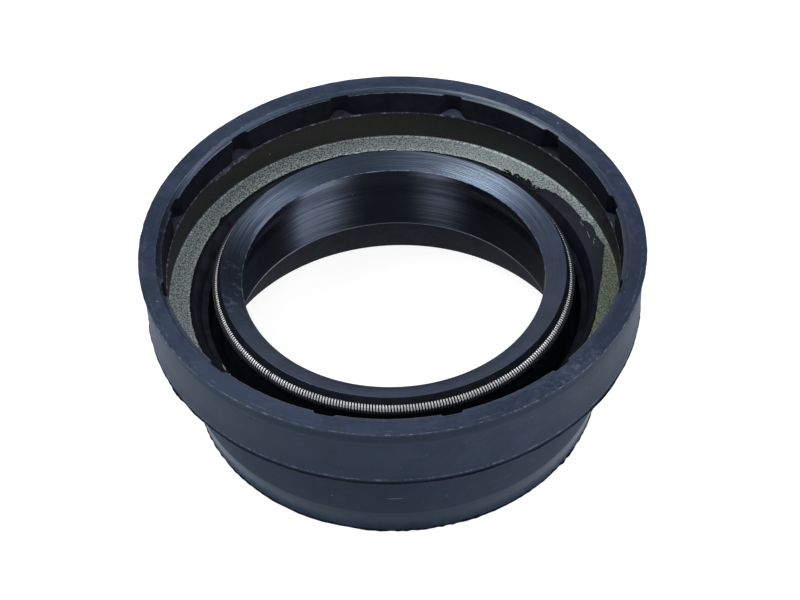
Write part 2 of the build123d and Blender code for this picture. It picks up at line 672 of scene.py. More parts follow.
@dataclass(frozen=True)
class MouldedRubber(SealRubber):
    """Faces as they left the mould: clouded, dusty and worn on their edges, with painted highlights there and
    painted shade on the sides and at the toe.
    """

    skin: Skin = Skin.MOULDED
    level: float = 0.26
    tint: Colour = (0.50, 0.74, 1.0)
    bloomed: float = 0.10
    # colour of the painted shade on faces that turn away from the light
    painted_side_shade: Colour = (0.0055, 0.0095, 0.0210)
    worn: Colour = (0.15, 0.18, 0.24)
    # pale colour of worn edges and of the painted highlights on them
    worn_edge_highlight: Colour = (0.34, 0.37, 0.44)
    dust: Colour = (0.26, 0.29, 0.36)
    # painted light and shade: the bloom's clouds are made lighter or darker at these angles round the axis
    painted_light_and_shade: tuple[Spot, ...] = (
        (-125, 18, 0.16), (95, 30, 0.05), (68, 9, 0.10), (-24, 14, -0.14), (174, 18, -0.10),
    )

    def on_collar(self, graph: SealGraph) -> Signal:
        """1 on the collar, else 0."""
        return graph.radius.rising(self.section.case_radius + 0.2, self.section.case_radius + 0.7)

    def worn_edges_and_highlights(self, graph: SealGraph) -> Signal:
        """Broken pale lines: wear with painted highlights on both edges of the rim, strongest at the back, a
        scratch on it and the flash at the collar's foot.

        Args:
            graph: the material's nodes.

        Returns:
            Mask of the lines.
        """
        s = self.section
        outer = graph.ring(s.rim_radius - 0.03, s.rim_top - 0.03, 0.11) * (0.55 + graph.facing(60, 14) * 0.9)
        painted_glints = 0.30 + graph.spots((55, 20, 0.5), (137, 18, 0.5))
        inner = graph.ring(s.land_radius, s.rim_top - 0.02, 0.08) * painted_glints
        scratch = graph.ring(s.rim_radius - 0.62, s.rim_top, 0.07) * graph.noise(0.25).rising(0.48, 0.60)
        foot = graph.height.within(s.collar_base + 0.56, s.collar_base + 0.72, 0.1) * self.on_collar(graph)
        broken = graph.noise(1.1, 5, 0.85).rising(0.44, 0.66)
        return (outer + inner + scratch * 0.35 + foot * 0.45) * broken

    def faces(self, graph: SealGraph) -> dict[str, Signal]:
        """Clouds of bloom with painted light and shade, then wear with painted highlights, painted shade at
        the toe and in creases, and dust.

        Args:
            graph: the material's nodes.

        Returns:
            Values for the shader's sockets.
        """
        s, radius, height = self.section, graph.radius, graph.height
        clouds, mottle = graph.noise(0.20, 4, 0.6), graph.noise(1.3, 4, 0.65)
        side = height.falling(s.rim_top - 0.5, s.rim_top - 0.2)
        skirt = height.falling(s.collar_base - 1.5, s.collar_base)
        under_lead = height.falling(0.5, 3.0)
        # painted shade: the toe near the floor, the crease at the collar's foot and the strip under the rim
        # are darkened
        toe = (height + (graph.noise(0.9, 3) - 0.5) * 0.8).falling(0.35, 0.75)
        collar_foot_shade = height.falling(s.collar_base + 0.20, s.collar_base + 0.52) * self.on_collar(graph)
        shaded_flare_strip = height.rising(s.rim_top - 2.5, s.rim_top - 1.3)
        shaded_flare_strip = shaded_flare_strip * height.falling(s.rim_top - 0.12, s.rim_top - 0.06)
        shaded_flare_strip = shaded_flare_strip * radius.rising(s.rim_radius - 0.9, s.rim_radius - 0.6)
        band = height.within(19.3, 22.3, 1.0) * radius.rising(s.rim_radius - 1, s.rim_radius - 0.8)
        lead_in = height.rising(1.2, 3.2) * height.falling(4.3, 5.0)
        lead_in = lead_in * radius.rising(s.neck_inner + 0.2, s.neck_inner + 0.5)
        dust = graph.specks(1.5, 0.15, 0.23) + graph.specks(0.8, 0.10, 0.20) * 0.8
        # painted light and shade: the clouds are made lighter or darker at some angles round the axis
        cloudy = (clouds * 0.65 + mottle * 0.35 + graph.spots(*self.painted_light_and_shade)).rising(0.36, 0.64)
        # painted shade: the sides, the skirt, the taper and the rim top at the back are darkened, less on the
        # front right and more on the far left
        painted_side_shade = side * (0.62 + graph.spots((-58, 24, -0.34), (-162, 14, 0.12)))
        painted_side_shade = painted_side_shade + (skirt + under_lead) * 0.12
        painted_side_shade = painted_side_shade + height.falling(4.4, 5.2) * (0.22 + graph.facing(-90, 25) * 0.08)
        painted_side_shade = painted_side_shade + (1 - side) * radius.falling(31.0, s.collar_radius) * graph.facing(95, 16) * 0.30
        smears = graph.streaks((0.8, 14.0, 0.5), 4, 0.7).rising(0.52, 0.76)
        scratches = graph.streaks((5.0, 3.0, 1.2), 3, 0.7).rising(0.62, 0.72)
        rubbed = graph.facing(-48, 10) * mottle.rising(0.50, 0.68) * (1 - side)
        colour = graph.layers(
            graph.mix(cloudy, self.deep, self.bloom),
            (painted_side_shade, self.painted_side_shade),
            (smears * (0.13 - side * 0.08), self.worn),
            (scratches * (0.16 - side * 0.11), self.worn),
            (rubbed * 0.30, self.worn),
            (self.worn_edges_and_highlights(graph), self.worn_edge_highlight),
            ((toe + shaded_flare_strip * 0.5 + collar_foot_shade) * 0.85, self.shade),
            (dust * (0.85 - side * 0.35), self.dust),
        )
        roughness = 0.40 + clouds * 0.10 + mottle * 0.12 + side * 0.09 + (toe + collar_foot_shade) * 0.2 + shaded_flare_strip * 0.1
        roughness = roughness + under_lead * 0.08 - band * clouds * 0.10 + dust * 0.3
        roughness = roughness - lead_in * (0.22 - graph.facing(-90, 40) * 0.16)
        dulled = (toe + collar_foot_shade) * 0.5 + under_lead * 0.25 + side * graph.facing(-93, 26) * 0.13
        dulled = dulled + side * skirt * graph.facing(-138, 12) * 0.22
        normal = graph.bump(graph.noise(8.0) * 0.4 + mottle * 0.6 + clouds, 0.02)
        return {"Base Color": colour, "Roughness": roughness, "Normal": normal, "Metallic": dulled}


@dataclass(frozen=True)
class HollowRubber(SealRubber):
    """Faces that lie in shade: the lining with its notches, the trench and the recess; lining and recess get
    painted shade.

    A pair of colours is the darker and the paler one of its clouds.
    """

    skin: Skin = Skin.HOLLOW
    level: float = 0.12
    tint: Colour = (0.62, 0.80, 1.0)
    # lining and recess: darker than the moulded rubber, as painted shade
    lining: tuple[Colour, Colour] = ((0.0080, 0.0088, 0.0135), (0.0135, 0.0150, 0.0240))
    trench: tuple[Colour, Colour] = ((0.018, 0.020, 0.030), (0.038, 0.042, 0.058))
    recess: Colour = (0.0045, 0.0075, 0.0170)
    # colour of the painted shade on the lining's left and right
    painted_lining_shade: Colour = (0.003, 0.004, 0.009)
    # colour of painted shade, here in the trench on the right
    painted_shade_tone: Colour = (0.004, 0.005, 0.009)
    dust: Colour = (0.10, 0.11, 0.12)
    shelf: PadShelf = PadShelf((0.026, 0.030, 0.048), (0.17, 0.20, 0.31))

    def faces(self, graph: SealGraph) -> dict[str, Signal]:
        """Cloudy lining with the recess, painted shade on its left and right, the trench with painted shade
        on the right, the shelves and dust on it.

        Args:
            graph: the material's nodes.

        Returns:
            Values for the shader's sockets.
        """
        s, radius, height = self.section, graph.radius, graph.height
        clouds, grain = graph.noise(0.5, 4, 0.6), graph.noise(7.0, 3, 0.6)
        cloudy = clouds.rising(0.3, 0.7)
        # painted shade: the lining is darkened on its left and right sides
        lining_side_shade = (graph.facing(175, 30) + graph.facing(15, 30)) * 0.6
        in_trench = radius.falling(s.neck_inner, s.neck_inner + 0.3) * radius.rising(23.7, 24.0)
        # painted shade: the trench on the right is darkened, except in one band of radius
        trench_right_shade = graph.facing(10, 32) * (1 - radius.within(24.55, 25.15, 0.2)) * 0.85
        on_shelf = height.within(s.lining_base - 0.05, s.lining_base + 0.03, 0.1)
        on_shelf = on_shelf * radius.within(s.cup_radius - 0.1, s.cup_radius + 2.6, 0.1)
        colour = graph.layers(
            graph.mix(cloudy, *self.lining),
            (height.falling(8.2, 8.6), self.recess),
            (lining_side_shade * height.rising(s.lining_base, s.lining_base + 0.3), self.painted_lining_shade),
            (in_trench, graph.mix(trench_right_shade, graph.mix(cloudy, *self.trench), self.painted_shade_tone)),
            (on_shelf, self.shelf.colour(graph, grain)),
            (graph.specks(1.1, 0.09, 0.20) * 0.5, self.dust),
        )
        return {"Base Color": colour, "Roughness": 0.50 + clouds * 0.15, "Normal": graph.bump(grain, 0.01)}


@dataclass(frozen=True)
class GroovedRubber(SealRubber):
    """Cut or scuffed faces with fine grooves round the axis. Each kind adds its own ground."""

    # pale colour of scuffs and of painted highlights
    scuff_and_highlight: Colour = (0.25, 0.30, 0.42)
    worn_edge_highlight: Colour = (0.26, 0.29, 0.37)

    def ground(self, graph: SealGraph, fine: Signal, broad: Signal) -> tuple[Signal, Signal]:
        """Colour and roughness between the edges."""
        raise NotImplementedError

    def faces(self, graph: SealGraph) -> dict[str, Signal]:
        """The ground with pale broken lines on the lip's and the bevel's edge: wear, with painted highlights
        on the bevel at the back.

        Args:
            graph: the material's nodes.

        Returns:
            Values for the shader's sockets.
        """
        s = self.section
        fine, broad = graph.streaks((9.0, 2.0, 9.0), 2, 0.6), graph.streaks((2.6, 1.4, 2.6), 2, 0.6)
        lip = graph.ring(s.trim_radius, s.trim_height, 0.09)
        bevel = graph.ring(s.rim_radius - 3.00, s.rim_top - 0.46, 0.11)
        # painted highlights: the bevel's edge line is brighter at the back
        edges = lip + bevel * (0.5 + graph.spots((135, 24, 0.7), (70, 20, 0.5)))
        broken = graph.noise(1.6, 4, 0.7).rising(0.40, 0.62)
        ground, roughness = self.ground(graph, fine, broad)
        return {
            "Base Color": graph.mix(edges * broken * 0.8, ground, self.worn_edge_highlight),
            "Roughness": roughness,
            "Normal": graph.bump(fine * 0.5 + broad, 0.035),
            "Metallic": graph.facing(178, 20) * 0.65,
        }


@dataclass(frozen=True)
class TrimmedRubber(GroovedRubber):
    """The trimmed head and bevel: shiny, with painted highlights over pale scuff lines at the back and
    painted shade by angle.
    """

    skin: Skin = Skin.TRIMMED
    level: float = 0.95
    tint: Colour = (0.50, 0.70, 1.0)
    stretched: float = 0.5
    # colour of the painted shade
    dark: Colour = (0.0040, 0.0055, 0.0110)
    # colour of the painted highlights at the back right
    grey: Colour = (0.285, 0.335, 0.365)

    def ground(self, graph: SealGraph, fine: Signal, broad: Signal) -> tuple[Signal, Signal]:
        """Clouds, painted shade on some stretches, a smudge on the left and painted highlights with scuff
        lines along the grooves.

        Args:
            graph: the material's nodes.
            fine: noise of the fine grooves.
            broad: noise of the broad grooves.

        Returns:
            Colour and roughness.
        """
        cloudy = graph.noise(0.3, 3, 0.6).rising(0.3, 0.7)
        # painted shade: darker on the left, at the back and on the bevel at the back, lighter at the front
        dark = 0.40 + graph.spots((174, 20, 0.60), (99, 12, 0.55), (-90, 35, -0.28))
        dark = dark + graph.radius.rising(28.0, 28.5) * graph.facing(97, 16) * 0.30
        smudge = graph.noise(0.9, 3, 0.6).rising(0.52, 0.66) * graph.facing(-172, 14)
        # painted highlights at the back right and back left, streaked like fine scuffs
        scuffs_and_painted_highlights = graph.spots((55, 19, 1.35), (145, 10, 0.95)) + 0.05
        lines = 0.10 + fine.rising(0.45, 0.64) * 0.62
        colour = graph.layers(
            graph.mix(cloudy, self.deep, self.bloom),
            (dark, self.dark),
            (smudge * 0.18, self.scuff_and_highlight),
            (scuffs_and_painted_highlights * lines, graph.mix(graph.facing(62, 16), self.scuff_and_highlight, self.grey)),
        )
        return colour, 0.25 + broad * 0.10 - fine * 0.04 + graph.facing(176, 24) * 0.30


@dataclass(frozen=True)
class BoredRubber(GroovedRubber):
    """The bore under the lip's crest, nearly black as painted shade, with a painted highlight line on the
    heel's lower edge.
    """

    skin: Skin = Skin.BORED
    level: float = 0.06
    tint: Colour = (0.40, 0.60, 1.0)
    stretched: float = 0.9
    # nearly black: painted shade of the bore
    black: Colour = (0.0020, 0.0032, 0.0080)
    heel_highlight: Colour = (0.70, 0.74, 0.86)

    def ground(self, graph: SealGraph, fine: Signal, broad: Signal) -> tuple[Signal, Signal]:
        """Black clouds, the painted highlight on the heel edge and painted highlights with scuff lines at the
        back that fade downwards.

        Args:
            graph: the material's nodes.
            fine: noise of the fine grooves.
            broad: noise of the broad grooves.

        Returns:
            Colour and roughness.
        """
        s = self.section
        cloudy = graph.noise(0.3, 3, 0.6).rising(0.3, 0.7)
        # painted highlight along the heel's lower edge, brightest at the back
        heel_edge_highlight = graph.ring(s.heel_radius, s.heel_base + 0.02, 0.26)
        heel_edge_highlight = heel_edge_highlight * (0.22 + graph.spots((138, 24, 0.70), (42, 24, 0.40)))
        # painted highlights at the back, fading downwards
        scuffs_and_painted_highlights = graph.spots((118, 8, 1.15), (72, 6.5, 0.5), (124, 3.5, 0.5))
        scuffs_and_painted_highlights = scuffs_and_painted_highlights * (0.75 + 0.25 * graph.height.rising(s.heel_base, s.heel_base + 2.5))
        lines = 0.45 + 0.75 * (fine * 0.6 + broad * 0.4).rising(0.40, 0.60)
        colour = graph.layers(
            graph.mix(cloudy, self.black, self.shade),
            (graph.facing(92, 14) * 0.035, self.scuff_and_highlight),
            (heel_edge_highlight, self.heel_highlight),
            (scuffs_and_painted_highlights * lines, self.scuff_and_highlight),
        )
        return colour, 0.50 + broad * 0.12


@dataclass(frozen=True)
class TornRubber:
    """Thin torn edges of rubber, paler where they catch dust.

    Attributes:
        name: name of the material.
        body: its colour.
        edge: colour of its paler patches.
        sheet: colour of the wide torn sheet on the cup's floor, where there is one.
        sheet_rise: heights between which that colour comes in, just below the floor.
    """

    name: str
    body: Colour
    edge: Colour
    sheet: Colour | None = None
    sheet_rise: tuple[float, float] = (16.7, 17.1)

    def dress(self) -> bpy.types.Material:
        """Builds the material, with the tone of the torn sheet round its widest place.

        Returns:
            The material.
        """
        graph = SealGraph(self.name)
        patches = graph.noise(1.3, 4, 0.7)
        colour = graph.mix(patches.rising(0.45, 0.7), self.body, self.edge)
        if self.sheet is not None:
            on_floor = graph.facing(22, 22) * graph.height.rising(*self.sheet_rise)
            colour = graph.mix(on_floor * (0.50 + patches * 0.6), colour, self.sheet)
        return graph.shade(
            {
                "Base Color": colour,
                "Roughness": 0.38 + patches * 0.2,
                "Normal": graph.bump(patches + graph.noise(8.0) * 0.3, 0.02),
                "Specular IOR Level": 0.12,
                "Specular Tint": (0.66, 0.82, 1.0, 1.0),
            }
        )


FILM_RUBBER = TornRubber("film_rubber", (0.004, 0.005, 0.008), (0.009, 0.010, 0.016), (0.036, 0.042, 0.053))
PALE_FLASH = TornRubber("torn_rubber", (0.030, 0.031, 0.042), (0.19, 0.18, 0.23))


@dataclass(frozen=True)
class CoatedSteel:
    """Stamped steel with a thin coat, grainy grey-green on the floor and dark on the wall.

    A pair of colours is the darker and the paler one of a pattern.
    """

    section: Section
    pale: Colour = (0.56, 0.68, 0.66)
    dark: Colour = (0.022, 0.033, 0.036)
    rosy: Colour = (0.54, 0.58, 0.64)
    pits: Colour = (0.02, 0.025, 0.025)
    moss: tuple[Colour, Colour] = ((0.05, 0.06, 0.035), (0.17, 0.21, 0.13))
    wall: tuple[Colour, Colour] = ((0.023, 0.024, 0.018), (0.036, 0.038, 0.029))
    wall_patches: Colour = (0.024, 0.021, 0.028)
    wall_shadow: Colour = (0.008, 0.008, 0.011)
    # colour of the painted light at the back of the wall
    wall_painted_light: Colour = (0.056, 0.058, 0.052)
    shelf: PadShelf = PadShelf((0.020, 0.024, 0.039), (0.15, 0.17, 0.26))

    def floor_colour(self, graph: SealGraph, grain: Signal, coarse: Signal) -> Signal:
        """Grains of pale on dark with pits and mossy on the right, with painted light at the back right and
        on the left and painted shade at the back.

        Args:
            graph: the material's nodes.
            grain: noise of the grains.
            coarse: noise of larger ones.

        Returns:
            Colour of the cup's floor.
        """
        # painted light: the grains are paler towards the back right
        painted_back_right_light = graph.towards(0.95).rising(0.3, 1.0)
        speck = (grain * 0.85 + coarse * 0.15 + painted_back_right_light * 0.05).rising(0.38, 0.64)
        right_side = graph.towards(-0.05).rising(0.88, 0.995)
        return graph.layers(
            graph.mix(speck, self.dark, graph.mix(graph.noise(4.0).rising(0.45, 0.6), self.pale, self.rosy)),
            (graph.specks(0.5, 0.09, 0.25) * 0.8, self.pits),
            (right_side * 0.8, graph.mix(speck, *self.moss)),
            # painted shade at the back, then painted light on the left and at the back right
            (graph.facing(92, 20) * 0.30, self.dark),
            (graph.spots((-175, 35, 0.16), (56, 12, 0.22)), self.pale),
        )

    def wall_colour(self, graph: SealGraph, patches: Signal) -> Signal:
        """Upright streaks with patches, with painted shadow on both sides and painted light at the back.

        Args:
            graph: the material's nodes.
            patches: noise of the patches.

        Returns:
            Colour of the cup's wall.
        """
        upright = graph.noise(1.0, 3, 0.7, graph.vector(graph.angle * 75, graph.height * 0.35, 0.0))
        return graph.layers(
            graph.mix(upright.rising(0.30, 0.80), *self.wall),
            (patches.rising(0.4, 0.65) * 0.6, self.wall_patches),
            (graph.spots((35, 26, 0.95), (190, 26, 0.85)), self.wall_shadow),
            (graph.facing(105, 26) * 0.45, self.wall_painted_light),
        )

    def dress(self) -> bpy.types.Material:
        """Builds the material.

        Returns:
            The material.
        """
        graph = SealGraph("coated_steel")
        floor, top = self.section.metal_floor, self.section.lining_base
        grain, coarse = graph.noise(4.6, 2, 0.6), graph.noise(3.0)
        patches = graph.noise(0.35, 3)
        on_wall = graph.height.rising(floor + 0.12, floor + 0.3)
        on_shelf = graph.height.rising(top - 0.06, top - 0.03)
        colour = graph.layers(
            self.floor_colour(graph, grain, coarse),
            (on_wall, self.wall_colour(graph, patches)),
            (on_shelf, self.shelf.colour(graph, grain)),
        )
        return graph.shade(
            {
                "Base Color": colour,
                "Roughness": 0.40 + grain * 0.2 + patches * 0.1,
                "Normal": graph.bump(grain + coarse * 0.5, 0.05),
                "Metallic": (1 - on_shelf) * 0.4,
            }
        )


@dataclass(frozen=True)
class DrawnWire:
    """Drawn spring wire in its own colour on the lit crowns, darkened below them and between the turns by
    painted shade.

    Attributes:
        section: sizes of the seal.
        bright: colour of the bare wire.
        dulled: its colour under a haze.
        painted_shade_tone: colour of the painted shade.
        crown: distances from the coil's middle between which the painted shade between the turns gives way to
            the wire.
    """

    section: Section
    bright: Colour = (0.95, 0.97, 1.0)
    dulled: Colour = (0.88, 0.91, 0.96)
    # colour of the painted shade on the wire
    painted_shade_tone: Colour = (0.075, 0.080, 0.105)
    crown: tuple[float, float] = (0.760, 0.840)

    def dress(self) -> bpy.types.Material:
        """Builds the material.

        The painted shade reaches up to an angle of 1.0 + 0.5 sin(angle round the axis) - 0.2 sin(the same) **
        2 radians on the coil's section, measured from its outermost point, and lies between the turns.

        Returns:
            The material.
        """
        graph = SealGraph("drawn_wire")
        middle = self.section.spring_radius, self.section.spring_height
        film = graph.noise(0.6, 3)
        lift = graph.math("ARCTAN2", graph.height - middle[1], graph.radius - middle[0])
        across = graph.math("SINE", graph.angle)
        # painted shade: its edge on the coil's section, higher on one side of the ring
        shade_line = 1.0 + 0.5 * across - 0.2 * across * across + (film - 0.5) * 0.2
        # share of the wire that is out of the painted shade
        bare = (lift - shade_line).rising(-0.08, 0.04) * graph.away(*middle).rising(*self.crown)
        metal = graph.mix(film.rising(0.35, 0.7), self.bright, self.dulled)
        return graph.shade(
            {
                "Base Color": graph.mix(bare, self.painted_shade_tone, metal),
                "Roughness": 0.20 + graph.noise(7.0) * 0.12,
                "Metallic": 0.15 + bare * 0.15,
            }
        )


@dataclass(frozen=True)
class PaleLint:
    """Pale lint and chipped specks."""

    dull: Colour = (0.3, 0.3, 0.32)
    pale: Colour = (0.45, 0.47, 0.50)

    def dress(self) -> bpy.types.Material:
        """Builds the material.

        Returns:
            The material.
        """
        graph = Graph("pale_lint")
        cloud = graph.noise(3.0)
        colour = graph.mix(cloud, self.dull, self.pale)
        return graph.shade({"Base Color": colour, "Roughness": 0.5 + cloud * 0.2})


# ------------------------------------------------------------------ the seal's pieces


@dataclass(frozen=True)
class EdgeFlaw:
    """Unevenness of one edge of the section, fading with the distance from it.

    Attributes:
        radius: radius of the edge.
        height: height of the edge.
        reach: distance over which it fades.
        outward: how far the edge wanders in radius.
        upward: how far it wanders in height.
        waves: fewest and most waves in one turn.
        seed: number that fixes the pattern.
    """

    radius: float
    height: float
    reach: float
    outward: float
    upward: float
    waves: tuple[int, int]
    seed: int

    def shift(self, outline: np.ndarray, angle: np.ndarray) -> tuple[np.ndarray, np.ndarray]:
        """How far each point of the outline moves at each angle.

        The change is exp(-(distance / reach) ** 2) times a ripple round the axis.

        Args:
            outline: one row of (radius, height) for each point.
            angle: angles in radians.

        Returns:
            Changes of radius and height, angles down the rows and outline points along them.
        """
        away = np.hypot(outline[:, 0] - self.radius, outline[:, 1] - self.height)
        share = np.exp(-((away / self.reach) ** 2))
        out, up = (ripple(angle, self.waves, seed)[:, None] for seed in (self.seed, self.seed + 1))
        return self.outward * out * share, self.upward * up * share


@dataclass(frozen=True)
class RubberBody:
    """The moulded body: one closed section carried round the axis, with notches and uneven edges.

    Attributes:
        section: sizes of the seal.
        columns_per_notch: columns of the mesh from one notch to the next.
        gathering: how much they crowd together at the notches, below 1.
        longest: longest step along the section.
        sharp: rounding of a sharp edge.
        blunt: rounding of a blunt one.
        toe: how far the toe of the skirt stands back, and its height.
        toe_slope: how much further its lower edge stands back.
        bevel: how far the steps of the bevel stand in from the rim and down from its top.
        lining_rises: heights of the rows at the foot of the lining.
        lining_lean: how far the lining leans outwards for each millimetre that it rises.
        seat_arc: first and last angle of the spring's seat on the coil's section, in degrees.
        waist: height above the heel, and how far it stands back from the heel's bore.
        notch_depth: depth of a notch at the top and at the base of the lining.
        notch_width: half its width there, in degrees.
        notch_sharpness: power that gives its outline a flat bottom when it is high.
    """

    section: Section
    columns_per_notch: int = 42
    gathering: float = 0.55
    longest: float = 3.2
    sharp: float = 0.07
    blunt: float = 0.15
    skirt_wall: float = 2.55
    toe: tuple[float, float] = (0.80, 0.42)
    toe_slope: float = 0.22
    lead_in_height: float = 4.8
    flare_height: float = 2.45
    bevel: Pairs = ((2.42, 0.24), (2.50, 0.26), (2.60, 0.44))
    bevel_foot: tuple[float, float] = (3.02, 0.46)
    lining_rises: tuple[float, ...] = (2.6, 1.9, 1.3, 0.8, 0.45, 0.2, 0.08, 0.0)
    lining_lean: float = 0.06
    flange_cover: float = 1.05
    floor_bend: float = 1.05
    land_lap: float = 0.6
    land_rise: float = 0.05
    ledge_drop: float = 1.94
    ledge_fall: float = 0.46
    ledge_width: float = 0.85
    trench_width: float = 1.73
    trench_cover: float = 0.55
    membrane: float = 1.45
    shoulder_drop: float = 0.3
    shoulder_height: float = 1.05
    shoulder_reach: float = 0.21
    seat_clearance: float = 0.03
    seat_arc: tuple[float, float] = (293, 74)
    head_width: float = 2.75
    trim_angle: float = 23
    waist: tuple[float, float] = (6.81, 0.45)
    waist_rise: float = 1.15
    notch_depth: tuple[float, float] = (0.62, 1.68)
    notch_width: tuple[float, float] = (2.7, 2.6)
    notch_sharpness: tuple[float, float] = (8.0, 2.6)

    def flaws(self) -> list[EdgeFlaw]:
        """Uneven edges: rim, inside of the rim, foot of the collar, toe, lap on the floor, lip."""
        s = self.section
        return [
            EdgeFlaw(s.rim_radius, s.rim_top, 0.25, 0.05, 0.03, (8, 120), 3),
            EdgeFlaw(s.land_radius, s.rim_top, 0.2, 0.03, 0.02, (10, 100), 5),
            EdgeFlaw(s.collar_radius, s.collar_base, 0.25, 0.03, 0.05, (5, 90), 7),
            EdgeFlaw(s.skirt_radius - self.toe[0], self.toe[1], 0.3, 0.12, 0.08, (9, 120), 11),
            EdgeFlaw(s.neck_inner + self.land_lap, s.metal_floor, 0.3, 0.10, 0.02, (6, 120), 13),
            EdgeFlaw(s.crest_radius, s.crest_height, 0.4, 0.03, 0.04, (4, 60), 17),
        ]

    def outside(self) -> list[Corner]:
        """Corners from the skirt's inner foot up the outside and down the lining.

        Returns:
            The corners in order.
        """
        s, sharp = self.section, self.sharp
        bevel = [Corner(s.rim_radius - inset, s.rim_top - drop, 0.03) for inset, drop in self.bevel]
        lining = [
            Corner(s.cup_radius + self.lining_lean * rise, s.lining_base + rise) for rise in self.lining_rises
        ]
        return [
            Corner(s.skirt_radius - self.skirt_wall, 0, sharp),
            Corner(s.skirt_radius - self.toe[0] - self.toe_slope, 0, sharp),
            Corner(s.skirt_radius - self.toe[0], self.toe[1], sharp, close=True),
            Corner(s.skirt_radius, self.lead_in_height, 0.25),
            Corner(s.skirt_radius, s.collar_base, self.blunt),
            Corner(s.collar_radius, s.collar_base, self.blunt, close=True),
            Corner(s.collar_radius, s.rim_top - self.flare_height, 1.5),
            Corner(s.rim_radius, s.rim_top, sharp, close=True),
            Corner(s.land_radius, s.rim_top, sharp, close=True),
            *bevel,
            Corner(s.rim_radius - self.bevel_foot[0], s.rim_top - self.bevel_foot[1], sharp, close=True),
            *lining,
        ]

    def round_sheet(self) -> list[Corner]:
        """Corners that wrap the bent sheet, from the wall's end to the lap over the cup's floor.

        Returns:
            The corners in order.
        """
        s = self.section
        flange = s.heel_radius + self.flange_cover
        lap, top = s.neck_inner + self.land_lap, s.metal_floor + self.land_rise
        return [
            Corner(s.case_radius, s.lining_base),
            Corner(s.case_radius, s.metal_floor - s.sheet),
            Corner(s.neck_outer, s.metal_floor - s.sheet),
            Corner(s.neck_outer, s.flange_base),
            Corner(flange, s.flange_base),
            Corner(flange, s.flange_base + s.sheet),
            Corner(s.neck_inner, s.flange_base + s.sheet),
            Corner(s.neck_inner, s.metal_floor, self.floor_bend),
            Corner(lap, s.metal_floor - 0.12),
            Corner(lap, top, 0.04),
            Corner(s.neck_inner + 0.1, top, self.blunt),
        ]

    def lip(self) -> list[Corner]:
        """Corners of the trench, the lip head with the spring's seat, the waist and the heel.

        Returns:
            The corners in order.
        """
        s = self.section
        membrane = s.heel_radius + self.membrane
        trench = membrane + self.trench_width
        trench_floor = s.flange_base + s.sheet + self.trench_cover
        ledge = s.metal_floor - self.ledge_drop
        shoulder = s.spring_height - s.tube_radius - self.shoulder_drop
        seat_radius = s.tube_radius + self.seat_clearance
        seat = [
            Corner(s.spring_radius + seat_radius * math.cos(a), s.spring_height + seat_radius * math.sin(a))
            for a in np.radians(np.linspace(*self.seat_arc, 14))
        ]
        head = s.trim_height + self.head_width * math.tan(math.radians(self.trim_angle))
        waist = s.heel_base + self.waist[0]
        return [
            Corner(trench + self.ledge_width, ledge, 0.2),
            Corner(trench, ledge - self.ledge_fall, 0.2),
            Corner(trench, trench_floor, 0.8),
            Corner(membrane, trench_floor, 0.8),
            Corner(membrane, shoulder - self.shoulder_height, 0.5),
            Corner(s.spring_radius + self.shoulder_reach, shoulder, 0.2),
            *seat,
            Corner(s.trim_radius + self.head_width, head, self.sharp),
            Corner(s.trim_radius, s.trim_height, self.sharp),
            Corner(s.crest_radius, s.crest_height, 0.05),
            Corner(s.heel_radius + self.waist[1], waist, 0.5),
            Corner(s.heel_radius, waist - self.waist_rise, self.blunt),
            Corner(s.heel_radius, s.heel_base, self.sharp),
            Corner(s.skirt_radius - self.skirt_wall, s.heel_base, 0.6),
        ]

    def columns(self) -> np.ndarray:
        """Angles of the columns in radians, gathered at the notches.

        Within one pitch a column stands at pitch * (u - gathering * sin(2 pi u) / (2 pi)) from its
        notch, with u even from -1/2 to 1/2.

        Returns:
            One angle for each column.
        """
        pitch = 2 * math.pi / self.section.notch_count
        u = np.arange(self.columns_per_notch) / self.columns_per_notch - 0.5
        own = pitch * (u - self.gathering * np.sin(2 * math.pi * u) / (2 * math.pi))
        notches = math.radians(self.section.first_notch) + pitch * np.arange(self.section.notch_count)
        return (notches[:, None] + own).ravel()

    def notched(self, outline: np.ndarray, angle: np.ndarray) -> np.ndarray:
        """Radii of the outline once the notches are cut into the lining.

        The cut stands back from the cup by depth * exp(-|x / width| ** sharpness). Going down,
        sharpness falls from the flat-bottomed mouth's to the base's, the width grows evenly and the
        depth grows as top + gain * (down + down ** 4) / 2, a hollow foot. A point of the lining
        keeps the larger of its own radius and the cut's.

        Args:
            outline: one row of (radius, height) for each point.
            angle: angles in radians.

        Returns:
            Radii, angles down the rows and outline points along them.
        """
        s = self.section
        radius, height = outline.T
        down = np.clip((s.rim_top - height) / (s.rim_top - s.lining_base), 0, 1)
        near = (radius < s.cup_radius + 0.6) & (height > s.lining_base - 0.01)
        depth = np.interp((down + down**4) / 2, (0, 1), self.notch_depth)
        width = np.interp(down, (0, 1), self.notch_width)
        sharpness = np.interp(down, (0, 1), self.notch_sharpness)
        pitch = 360 / s.notch_count
        away = (np.degrees(angle) - s.first_notch + pitch / 2) % pitch - pitch / 2
        cut = s.cup_radius + depth * np.exp(-(np.abs(away[:, None] / width) ** sharpness))
        return np.where(near, np.maximum(radius, cut), radius)

